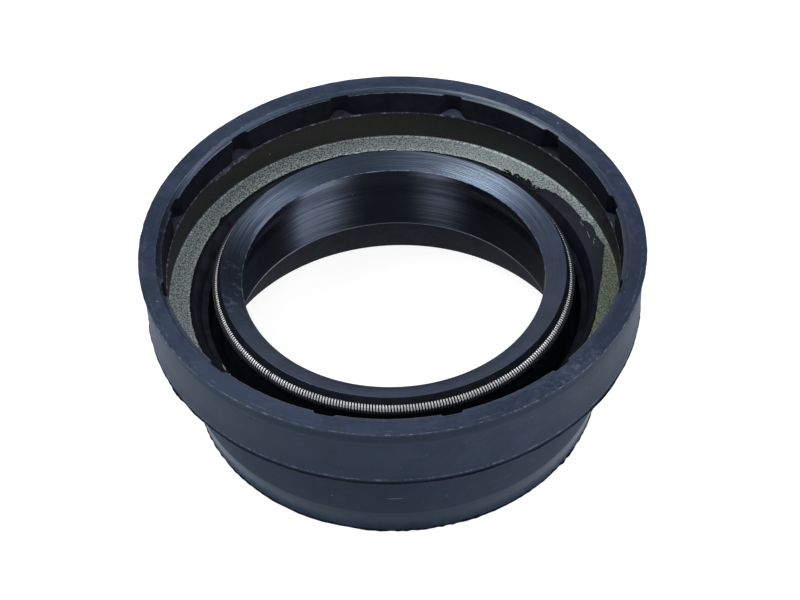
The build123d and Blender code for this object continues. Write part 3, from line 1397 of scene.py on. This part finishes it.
    def skins(self, outline: np.ndarray) -> np.ndarray:
        """Kind of face of each step along the outline.

        Args:
            outline: one row of (radius, height) for each point.

        Returns:
            Value of the Skin for each step.
        """
        s = self.section
        radius, height = ((outline + np.roll(outline, -1, 0)) / 2).T
        slack = 0.01
        cup = (radius < s.land_radius) & (height > s.rim_top - 3.95)
        lining = cup & (height < s.rim_top - 0.47)
        trench = (radius < s.neck_inner + 0.7) & (radius > s.spring_radius - 1.2) & (height > s.heel_base + 1)
        head = (radius < s.crest_radius + 3.1) & (height > s.crest_height + 0.8)
        bore = (radius < s.crest_radius + 1.75) & (height < s.crest_height + 0.86)
        bore |= (radius < s.crest_radius + 2.3) & (height < s.crest_height) & (height > s.heel_base)
        recess = (radius < s.skirt_radius - 2.5) & (height < s.heel_base + slack)
        hidden = (radius > s.neck_inner - slack) & (radius < s.case_radius + slack)
        hidden &= (height > s.flange_base - slack) & (height < s.lining_base)
        hidden &= (radius < s.neck_outer + slack) | (height > s.collar_base + slack)
        hollow = lining | recess | ((trench | hidden) & ~cup)
        kinds = [skin.value for skin in (Skin.TRIMMED, Skin.BORED, Skin.HOLLOW, Skin.TRIMMED)]
        return np.select([head, bore, hollow, cup], kinds, Skin.MOULDED.value).astype(np.int32)

    def build(self) -> bpy.types.Object:
        """Carries the outline round the axis and moves its points by notches and flaws.

        Returns:
            The rubber body as one closed surface.
        """
        outline = rounded_outline([*self.outside(), *self.round_sheet(), *self.lip()], self.longest)
        angle = self.columns()
        radius = self.notched(outline, angle)
        height = outline[:, 1] + np.zeros_like(radius)
        for flaw in self.flaws():
            out, up = flaw.shift(outline, angle)
            radius = radius + out
            height = height + up
        body = ring_piece("rubber_body_moulded", turned(radius, np.maximum(height, 0), angle[:, None]))
        body.data.polygons.foreach_set("material_index", np.tile(self.skins(outline), len(angle)))
        return body


@dataclass(frozen=True)
class Ragged:
    """A length that wanders round the axis: mean plus swing times a ripple."""

    mean: float
    swing: float
    waves: tuple[int, int]
    seed: int

    def at(self, angle: np.ndarray) -> np.ndarray:
        """The length at each angle."""
        return self.mean + self.swing * ripple(angle, self.waves, self.seed)


@dataclass(frozen=True)
class FlashLine:
    """Ragged line of flash along an edge.

    Attributes:
        name: name of the piece.
        root: how far its root stands out and up from the edge.
        cover: how far it runs in the rubber before it shows, less than 0 where it runs inwards.
        width: how far it shows.
        least: least width.
        rise: height of its own edge above its root.
        taper: shares of the way from root to edge, and thickness there.
    """

    name: str
    root: tuple[float, float]
    cover: float
    width: Ragged
    least: float
    rise: Ragged
    taper: Pairs

    def build(
        self,
        radius: float,
        height: float,
        angle: np.ndarray,
        calm: np.ndarray | float = 1.0,
        step: np.ndarray | float = 0.0,
        tear: np.ndarray | float = 0.0,
        sag: float = 0.0,
    ) -> bpy.types.Object:
        """Runs the line round the axis.

        At a share t of the way it lies at root + (reach * t, rise * t - sag * tear * t ** 1.5).

        Args:
            radius: radius of the edge that it grows on.
            height: height of that edge.
            angle: angles of its columns in radians.
            calm: share of the width that is left at each angle.
            step: how much wider it is at each angle.
            tear: how much wider it is torn at each angle.
            sag: how far a tear hangs for each millimetre of its width.

        Returns:
            The line.
        """
        share, thickness = np.array(self.taper).T
        width = calm * (self.width.at(angle) + step).clip(self.least) + tear
        reach = self.cover + math.copysign(1, self.cover) * width
        hang = np.asarray(sag * tear)[..., None] * share**1.5
        out = radius + self.root[0] + reach[:, None] * share
        up = height + self.root[1] + self.rise.at(angle)[:, None] * share - hang
        return fin_ring(self.name, np.stack([out, up], -1), angle, thickness)


@dataclass(frozen=True)
class Flash:
    """Thin flash that the mould leaves round the seal, and the torn film on the cup's floor.

    Attributes:
        section: sizes of the seal.
        around: number of columns.
        film_edge: angles in degrees and radii of the film's torn edge.
        film_ragged: how the film's edge wanders from that outline.
        film_root: how far the film's root stands out from the neck.
        film_tuck: how much further in it is at the back, where the film is widest.
        film_lift: height of the film's middle above the floor.
        film_swell: how far it swells up and down.
        film_bend: how far out the bend of the floor reaches, and how far the film dips into it.
        film_taper: shares of the way from the film's root to its edge, and its thickness there.
        lining: flash where the lining ends on the bare wall.
        lining_tear: how much wider that is where it is torn, and how far it hangs there.
        toe: flash round the toe of the skirt.
        collar: flash under the collar's base edge.
    """

    section: Section
    around: int = 1440
    film_edge: Pairs = (
        (-60, 26.62), (-20, 26.5), (-8, 26.45), (-5, 26.6), (0, 27.1), (8, 27.9), (13, 28.85), (15, 28.6),
        (17, 28.4), (21, 28.7), (23.2, 28.3), (24.0, 27.7), (25, 28.1), (27, 28.05), (33, 28.05),
        (37, 27.9), (40, 27.4), (41.5, 26.7), (44, 26.2), (60, 25.95), (80, 26.1), (100, 26.3),
        (120, 26.6), (140, 26.65), (146, 26.7), (148.5, 27.05), (151, 26.65), (175, 26.6), (200, 26.75),
        (240, 26.6), (300, 26.62),
    )
    film_ragged: Ragged = Ragged(0.0, 0.05, (20, 300), 23)
    film_root: float = 0.15
    film_tuck: float = 0.35
    film_lift: float = 0.09
    film_swell: float = 0.045
    film_bend: tuple[float, float] = (1.05, 0.1)
    film_taper: Pairs = (
        (0, 0.12), (0.12, 0.14), (0.3, 0.14), (0.5, 0.14), (0.7, 0.14), (0.85, 0.13), (0.94, 0.1), (1, 0.04),
    )
    lining: FlashLine = FlashLine(
        "lining_flash",
        root=(0.12, 0.06),
        cover=-0.12,
        width=Ragged(0.18, 0.07, (10, 260), 37),
        least=0.03,
        rise=Ragged(0.0, 0.05, (6, 120), 39),
        taper=((0, 0.12), (0.4, 0.12), (0.75, 0.10), (1, 0.05)),
    )
    lining_tear: tuple[float, float] = (0.3, 0.45)
    toe: FlashLine = FlashLine(
        "toe_flash",
        root=(-1.00, 0.30),
        cover=0.20,
        width=Ragged(0.07, 0.09, (12, 150), 53),
        least=0.01,
        rise=Ragged(-0.08, 0.06, (12, 120), 59),
        taper=((0, 0.16), (0.5, 0.14), (0.8, 0.10), (1, 0.05)),
    )
    collar: FlashLine = FlashLine(
        "collar_flash",
        root=(-0.25, -0.02),
        cover=0.25,
        width=Ragged(0.05, 0.05, (8, 200), 43),
        least=0.01,
        rise=Ragged(-0.06, 0.05, (6, 90), 47),
        taper=((0, 0.10), (0.5, 0.10), (0.8, 0.08), (1, 0.04)),
    )

    @cached_property
    def angle(self) -> np.ndarray:
        """Angles of the columns."""
        return np.linspace(0, 2 * math.pi, self.around, endpoint=False)

    def film(self) -> bpy.types.Object:
        """Film over the inner edge of the steel floor, with its torn outline.

        Its edge goes straight between the listed angles and radii, with a ripple on top. Its height
        is the floor's plus its lift plus a seeded swell that dies out at the edge, less its dip
        times the square of the way down the bend.

        Returns:
            The film.
        """
        s, angle = self.section, self.angle
        marks = np.array(self.film_edge)
        edge = np.interp(np.degrees(angle), marks[:, 0], marks[:, 1], period=360)
        edge = edge + self.film_ragged.at(angle) * (1 + stretch(angle, 20, 24))
        root = (s.neck_inner + self.film_root - self.film_tuck * stretch(angle, 62, 18))[:, None]
        width = edge[:, None] - root
        share, thickness = np.array(self.film_taper).T
        radius = root + width * share
        swell = sum(
            ripple(angle + n * 0.4, (8, 60), 31 + n)[:, None] * np.sin((n + 1) * math.pi * share)
            for n in range(3)
        )
        reach, dip = self.film_bend
        drop = dip * np.clip((s.neck_inner + reach - radius) / reach, 0, 1) ** 2
        height = s.metal_floor + self.film_lift + self.film_swell * swell * np.clip(width, 0, 1) - drop
        return fin_ring("floor_film", np.stack([radius, height], -1), angle, thickness)

    def lining_line(self) -> bpy.types.Object:
        """Flash where the lining ends on the bare wall, fine on the right and torn wide on the left.

        Returns:
            The line.
        """
        s, angle = self.section, self.angle
        torn = (stretch(angle, 137, 9, 4) * Ragged(0.75, 0.5, (20, 200), 41).at(angle)).clip(0)
        calm = 1 - 0.75 * stretch(angle, 0, 45)
        wider, hanging = self.lining_tear
        return self.lining.build(
            s.cup_radius, s.lining_base, angle, calm=calm, tear=wider * torn, sag=hanging / wider
        )

    def toe_line(self) -> bpy.types.Object:
        """Flash round the toe of the skirt."""
        return self.toe.build(self.section.skirt_radius, 0.0, self.angle)

    def collar_line(self) -> bpy.types.Object:
        """Flash under the collar's base edge, with a step on the left and waves on the right."""
        step = stretch(self.angle, -149.5, 2.2, 6) * 0.12 + stretch(self.angle, -36.6, 4) * 0.10
        return self.collar.build(self.section.collar_radius, self.section.collar_base, self.angle, step=step)


@dataclass(frozen=True)
class GarterCoil:
    """Closely wound coil bent into a ring and seated in the groove of the lip.

    Attributes:
        section: sizes of the seal.
        turns: turns of the coil.
        steps: steps of the wire in one turn.
        sides: sides of the wire.
        wire_radius: radius of the wire.
        joint: angle in degrees of the joint, where the ends are screwed together.
        joint_push: how far the turns are pushed on there in radians, and over how many degrees.
        joint_pinch: share by which the coil is tighter beside it, and over how many degrees.
    """

    section: Section
    turns: int = 382
    steps: int = 12
    sides: int = 6
    wire_radius: float = 0.115
    joint: float = -134.4
    joint_push: tuple[float, float] = (1.7, 1.2)
    joint_pinch: tuple[float, float] = (0.10, 0.9)

    def build(self) -> bpy.types.Object:
        """Carries a round wire along a helix whose own axis is the ring.

        The wire's middle is at ring radius + coil radius times cos(wind) and at ring height + coil
        radius times sin(wind), with wind = turns times the angle round the ring, pushed on a
        little at the joint, where the coil is also tighter.

        Returns:
            The coil as one closed tube.
        """
        s = self.section
        angle = np.linspace(0, 2 * math.pi, self.turns * self.steps, endpoint=False)
        (push, push_width), (pinch, pinch_width) = self.joint_push, self.joint_pinch
        wind = push * stretch(angle, self.joint, push_width) - self.turns * angle
        coil = s.tube_radius - self.wire_radius
        coil = coil * (1 - pinch * stretch(angle, self.joint + push_width, pinch_width))
        middle = turned(s.spring_radius + coil * np.cos(wind), s.spring_height + coil * np.sin(wind), angle)
        along = unit(np.roll(middle, -1, 0) - np.roll(middle, 1, 0))
        outward = unit(middle - turned(s.spring_radius, s.spring_height, angle))
        across = unit(np.cross(outward, along))
        side = np.linspace(0, 2 * math.pi, self.sides, endpoint=False)[:, None]
        ring = np.cos(side) * outward[:, None] + np.sin(side) * across[:, None]
        return ring_piece("garter_spring_coil", middle[:, None] + self.wire_radius * ring)


@dataclass(frozen=True)
class Speck:
    """A crumb, hair or chip that lies on the seal.

    Attributes:
        radius: radius of its middle.
        angle: angle of its middle in degrees.
        height: height of its middle.
        half: half its length, width and thickness.
        turn: angle in degrees from the direction round the axis.
        upright: whether it lies on a wall rather than a level face.
    """

    radius: float
    angle: float
    height: float
    half: tuple[float, float, float]
    turn: float = 0.0
    upright: bool = False

    def grid(self, rings: int, sides: int, seed: int) -> np.ndarray:
        """Points of a lumpy ellipsoid.

        A point is the three half sizes times (cos v, sin v cos u, sin v sin u), with a ripple of
        the size over both, turned onto the face that carries it.

        Args:
            rings: number of rings along it.
            sides: points in each ring.
            seed: number that fixes the lumps.

        Returns:
            Array of rings by sides by 3.
        """
        dice = np.random.default_rng(seed)
        v = np.linspace(0.12, math.pi - 0.12, rings)[:, None]
        u = np.linspace(0, 2 * math.pi, sides, endpoint=False)[None, :]
        lump = 1 + dice.uniform(-0.25, 0.25, (rings, sides))
        ball = np.stack([np.cos(v) + 0 * u, np.sin(v) * np.cos(u) * lump, np.sin(v) * np.sin(u) * lump], -1)
        angle, turn = math.radians(self.angle), math.radians(self.turn)
        out = np.array([math.cos(angle), math.sin(angle), 0])
        round_axis = np.array([-math.sin(angle), math.cos(angle), 0])
        up = np.array([0, 0, 1.0])
        side, face = (up, out) if self.upright else (out, up)
        first = math.cos(turn) * round_axis + math.sin(turn) * side
        second = -math.sin(turn) * round_axis + math.cos(turn) * side
        return out * self.radius + up * self.height + ball * self.half @ np.stack([first, second, face])


def outward_sign(grid: np.ndarray) -> int:
    """1 where the grid's faces point outwards as they are wound, else -1.

    The sign is that of (step along the rings x step round the sides) . (point - middle).

    Args:
        grid: array of rings by sides by 3.

    Returns:
        1 or -1.
    """
    middle = grid.shape[0] // 2
    along = grid[middle + 1, 0] - grid[middle - 1, 0]
    around = grid[middle, 1] - grid[middle, -1]
    return 1 if np.cross(along, around) @ (grid[middle, 0] - grid.mean((0, 1))) > 0 else -1


def speck_piece(name: str, specks: list[Speck], rings: int = 7) -> bpy.types.Object:
    """One object of many specks, each a closed lump whose ends are shut by three faces.

    Args:
        name: name of the object.
        specks: the specks.
        rings: rings of eight points along each.

    Returns:
        The linked object.
    """
    sides = 8
    grids = [speck.grid(rings, sides, seed) for seed, speck in enumerate(specks)]
    end = np.array([[0, 1, 2, 3], [0, 3, 4, 7], [4, 5, 6, 7]])
    quads = np.concatenate([tube_quads(rings, sides, ring=False), end, end[:, ::-1] + (rings - 1) * sides])
    faces = [quads[:, :: outward_sign(grid)] + n * rings * sides for n, grid in enumerate(grids)]
    return mesh_piece(name, np.concatenate(grids).reshape(-1, 3), np.concatenate(faces))


@dataclass(frozen=True)
class Debris:
    """Rubber crumbs from trimming, and pale specks of lint."""

    section: Section

    def crumbs(self) -> bpy.types.Object:
        """Dark crumbs and hairs at the inner edge of the steel floor, on the back right.

        Returns:
            The crumbs.
        """
        top = self.section.metal_floor + 0.1
        dice = np.random.default_rng(61)
        angles = np.concatenate([dice.uniform(41, 54, 36), dice.normal(45.5, 1.6, 60)])
        lumps = [
            Speck(
                26.5 + dice.uniform(-0.4, 0.45),
                float(a),
                top + dice.uniform(0, 0.15),
                (dice.uniform(0.08, 0.36), dice.uniform(0.05, 0.12), 0.10),
                dice.uniform(-70, 70),
            )
            for a in angles
        ]
        fork = [
            Speck(26.75, 45.0, top + 0.1, (0.42, 0.07, 0.07), 70),
            Speck(27.05, 44.5, top + 0.15, (0.30, 0.06, 0.06), 130),
            Speck(27.0, 45.6, top + 0.15, (0.32, 0.06, 0.06), 30),
            Speck(26.6, 42.8, top + 0.1, (0.45, 0.06, 0.06), 25),
            Speck(26.7, 41.4, top + 0.1, (0.40, 0.06, 0.06), -15),
            Speck(26.45, 40.3, top + 0.1, (0.35, 0.06, 0.06), -50),
        ]
        return speck_piece("trim_crumbs", lumps + fork)

    def lint(self) -> bpy.types.Object:
        """Pale specks, slivers and raised edges of scratches.

        Returns:
            The lint.
        """
        top = self.section.metal_floor
        specks = [
            Speck(26.6, 102.1, top + 0.1, (0.30, 0.06, 0.05), 60),
            Speck(29.36, 124.0, 19.3, (0.10, 0.07, 0.04), 0, True),
            Speck(24.72, -153.2, 15.04, (0.60, 0.10, 0.06), 4),
            Speck(24.68, -149.6, 15.02, (0.30, 0.07, 0.05), 6),
            Speck(27.5, 22.6, top + 0.2, (0.55, 0.035, 0.03), -4),
            Speck(27.45, 18.0, top + 0.2, (0.7, 0.03, 0.03), 3),
            Speck(27.6, 14.6, top + 0.2, (0.35, 0.04, 0.03), 20),
            Speck(27.9, 15.6, top + 0.2, (0.16, 0.05, 0.03), -30),
            Speck(21.28, 104.3, 14.6, (0.13, 0.06, 0.04), 0, True),
            Speck(21.55, 63.4, 16.0, (0.10, 0.07, 0.04), 0, True),
            Speck(27.75, -91.5, 7.68, (1.15, 0.022, 0.02), 2, True),
        ]
        return speck_piece("lint_specks", specks)


# ------------------------------------------------------------------ studio


@dataclass(frozen=True)
class Lamp:
    """A soft rectangular lamp that looks at a point near the seal."""

    name: str
    place: tuple[float, float, float]
    size: tuple[float, float]
    power: float

    def hang(self, target: Vector) -> None:
        """Adds the lamp to the scene.

        Args:
            target: place that it faces.
        """
        data = bpy.data.lights.new(self.name, "AREA")
        data.shape = "RECTANGLE"
        data.size, data.size_y = self.size
        data.energy = self.power
        lamp = bpy.data.objects.new(self.name, data)
        lamp.location = self.place
        lamp.rotation_euler = (target - Vector(self.place)).to_track_quat("-Z", "Y").to_euler()
        bpy.context.scene.collection.objects.link(lamp)


@dataclass(frozen=True)
class Studio:
    """White floor, soft lamps and the camera, all in metres.

    Attributes:
        rim_top: height of the rim, whose centre the camera is placed from.
        elevation: tilt of the view in degrees.
        roll: roll of the camera in degrees.
        lens: focal length in millimetres.
        sensor: width of the sensor in millimetres.
        distance: distance from the rim's centre along the view.
        across: how far the rim's centre stands to the right of the view's middle.
        above: how far it stands above it.
        half_pixel: shift of the picture by half a pixel, as a share of its width.
        floor_size: side of the floor.
        floor_tone: grey of the floor under the lamps.
        floor_glow: light that it adds for the rays that see it directly.
        sky_light: strength of the light from all round.
        lamps_face: place that the lamps face.
        lamps: the lamps.
    """

    rim_top: float
    elevation: float = 46.03
    roll: float = -1.99
    lens: float = 108.0
    sensor: float = 36.0
    distance: float = 307.96 * MM
    across: float = -1.068 * MM
    above: float = 7.441 * MM
    half_pixel: float = 0.5 / 800
    floor_size: float = 6.0
    floor_tone: float = 0.42
    floor_glow: float = 0.86
    sky_light: float = 0.44
    lamps_face: tuple[float, float, float] = (0, 0, 0.012)
    lamps: tuple[Lamp, ...] = (
        Lamp("left_box", (-0.42, 0.00, 0.90), (0.56, 0.18), 3.4),
        Lamp("right_box", (0.57, 0.06, 0.90), (0.60, 0.18), 1.2),
        Lamp("front_box", (0.75, -0.65, 0.36), (0.90, 0.50), 2.4),
        Lamp("top_box", (0.00, -0.62, 0.80), (0.50, 0.30), 1.5),
    )

    def set_camera(self) -> None:
        """Places the camera by its elevation, its roll and its distance from the rim's centre."""
        tilt, roll = math.radians(self.elevation), math.radians(self.roll)
        forward = Vector((0, math.cos(tilt), -math.sin(tilt)))
        level_up = Vector((0, math.sin(tilt), math.cos(tilt)))
        level_right = Vector((1, 0, 0))
        right = math.cos(roll) * level_right + math.sin(roll) * level_up
        up = -math.sin(roll) * level_right + math.cos(roll) * level_up
        rim_centre = Vector((0, 0, self.rim_top))
        location = rim_centre - (self.across * right + self.above * up + self.distance * forward)
        data = bpy.data.cameras.new("camera")
        data.lens = self.lens
        data.sensor_width = self.sensor
        data.shift_x, data.shift_y = -self.half_pixel, self.half_pixel
        camera = bpy.data.objects.new("camera", data)
        axes = Matrix((right, up, -forward)).transposed().to_4x4()
        camera.matrix_world = Matrix.Translation(location) @ axes
        bpy.context.scene.collection.objects.link(camera)
        bpy.context.scene.camera = camera

    def seen_directly(self, graph: Graph) -> Signal:
        """Mask of the rays that show the floor as it is, those of the camera, gloss and glass.

        Args:
            graph: the material's nodes.

        Returns:
            1 for those rays, else 0.
        """
        rays = graph.node("ShaderNodeLightPath").outputs
        seen = (Signal(graph, rays[f"Is {kind} Ray"]) for kind in ("Camera", "Glossy", "Transmission"))
        return graph.math("MINIMUM", reduce(add, seen), 1.0)

    def lay_floor(self) -> None:
        """Adds a white floor that keeps a soft shadow."""
        half = self.floor_size / MM / 2
        points = np.array([(-half, -half, 0), (half, -half, 0), (half, half, 0), (-half, half, 0)])
        floor = mesh_piece("floor", points, np.array([[0, 1, 2, 3]]))
        graph = Graph("white_floor")
        strength = self.seen_directly(graph) * self.floor_glow
        matt = graph.node("ShaderNodeBsdfDiffuse", None, {"Color": (*(self.floor_tone,) * 3, 1)})
        glow = graph.node("ShaderNodeEmission", None, {"Strength": strength})
        both = graph.node("ShaderNodeAddShader", None, {0: matt.outputs[0], 1: glow.outputs[0]})
        graph.tree.links.new(both.outputs[0], graph.output.inputs["Surface"])
        floor.data.materials.append(graph.material)

    def light_world(self) -> None:
        """Soft pale grey light from all round."""
        world = bpy.data.worlds.new("pale_room")
        world.use_nodes = True
        sky = world.node_tree.nodes["Background"]
        sky.inputs["Color"].default_value = (1, 1, 1, 1)
        sky.inputs["Strength"].default_value = self.sky_light
        bpy.context.scene.world = world

    def set_up(self) -> None:
        """Builds the whole studio."""
        bpy.context.scene.view_settings.view_transform = "Standard"
        self.set_camera()
        self.lay_floor()
        self.light_world()
        for lamp in self.lamps:
            lamp.hang(Vector(self.lamps_face))


# ------------------------------------------------------------------ assembly


class Slot(Enum):
    """Material slots of the record that new pieces belong to."""

    RUBBER = "rubber"
    SPRING = "spring_steel"


def fit(piece: bpy.types.Object, finish: bpy.types.Material, slot: Slot, *nodes: str) -> None:
    """Dresses a piece, makes it ride on the seal and lets it stand for CAD nodes.

    Args:
        piece: the new piece.
        finish: its material.
        slot: slot of the record that it belongs to; not used.
        nodes: CAD nodes that it replaces.
    """
    piece.data.materials.append(finish)
    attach(piece, "root")
    if nodes:
        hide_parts(*nodes)
    log.info("%s: %d faces", piece.name, len(piece.data.polygons))


def redress(node: str, finish: bpy.types.Material) -> None:
    """Gives a CAD node a better material and keeps its mesh.

    Args:
        node: name of the node.
        finish: its new material.
    """
    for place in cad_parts[node].material_slots:
        place.material = finish
    log.info("%s keeps its mesh", node)


def main() -> None:
    """Builds the seal and its studio."""
    logging.basicConfig(level=logging.INFO, format="%(name)s: %(message)s")
    section = Section.from_frame()
    Studio(section.rim_top * MM).set_up()
    body = RubberBody(section).build()
    moulded, *others = (
        rubber(section).dress() for rubber in (MouldedRubber, HollowRubber, TrimmedRubber, BoredRubber)
    )
    fit(body, moulded, Slot.RUBBER, "rubber_body")
    for finish in others:
        body.data.materials.append(finish)
    redress("steel_case", CoatedSteel(section).dress())
    fit(GarterCoil(section).build(), DrawnWire(section).dress(), Slot.SPRING, "garter_spring")
    film = FILM_RUBBER.dress()
    flash = Flash(section)
    fit(flash.film(), film, Slot.RUBBER)
    fit(flash.collar_line(), film, Slot.RUBBER)
    fit(flash.toe_line(), film, Slot.RUBBER)
    fit(flash.lining_line(), PALE_FLASH.dress(), Slot.RUBBER)
    debris = Debris(section)
    fit(debris.crumbs(), film, Slot.RUBBER)
    fit(debris.lint(), PaleLint().dress(), Slot.RUBBER)


if __name__ == "__main__":
    main()
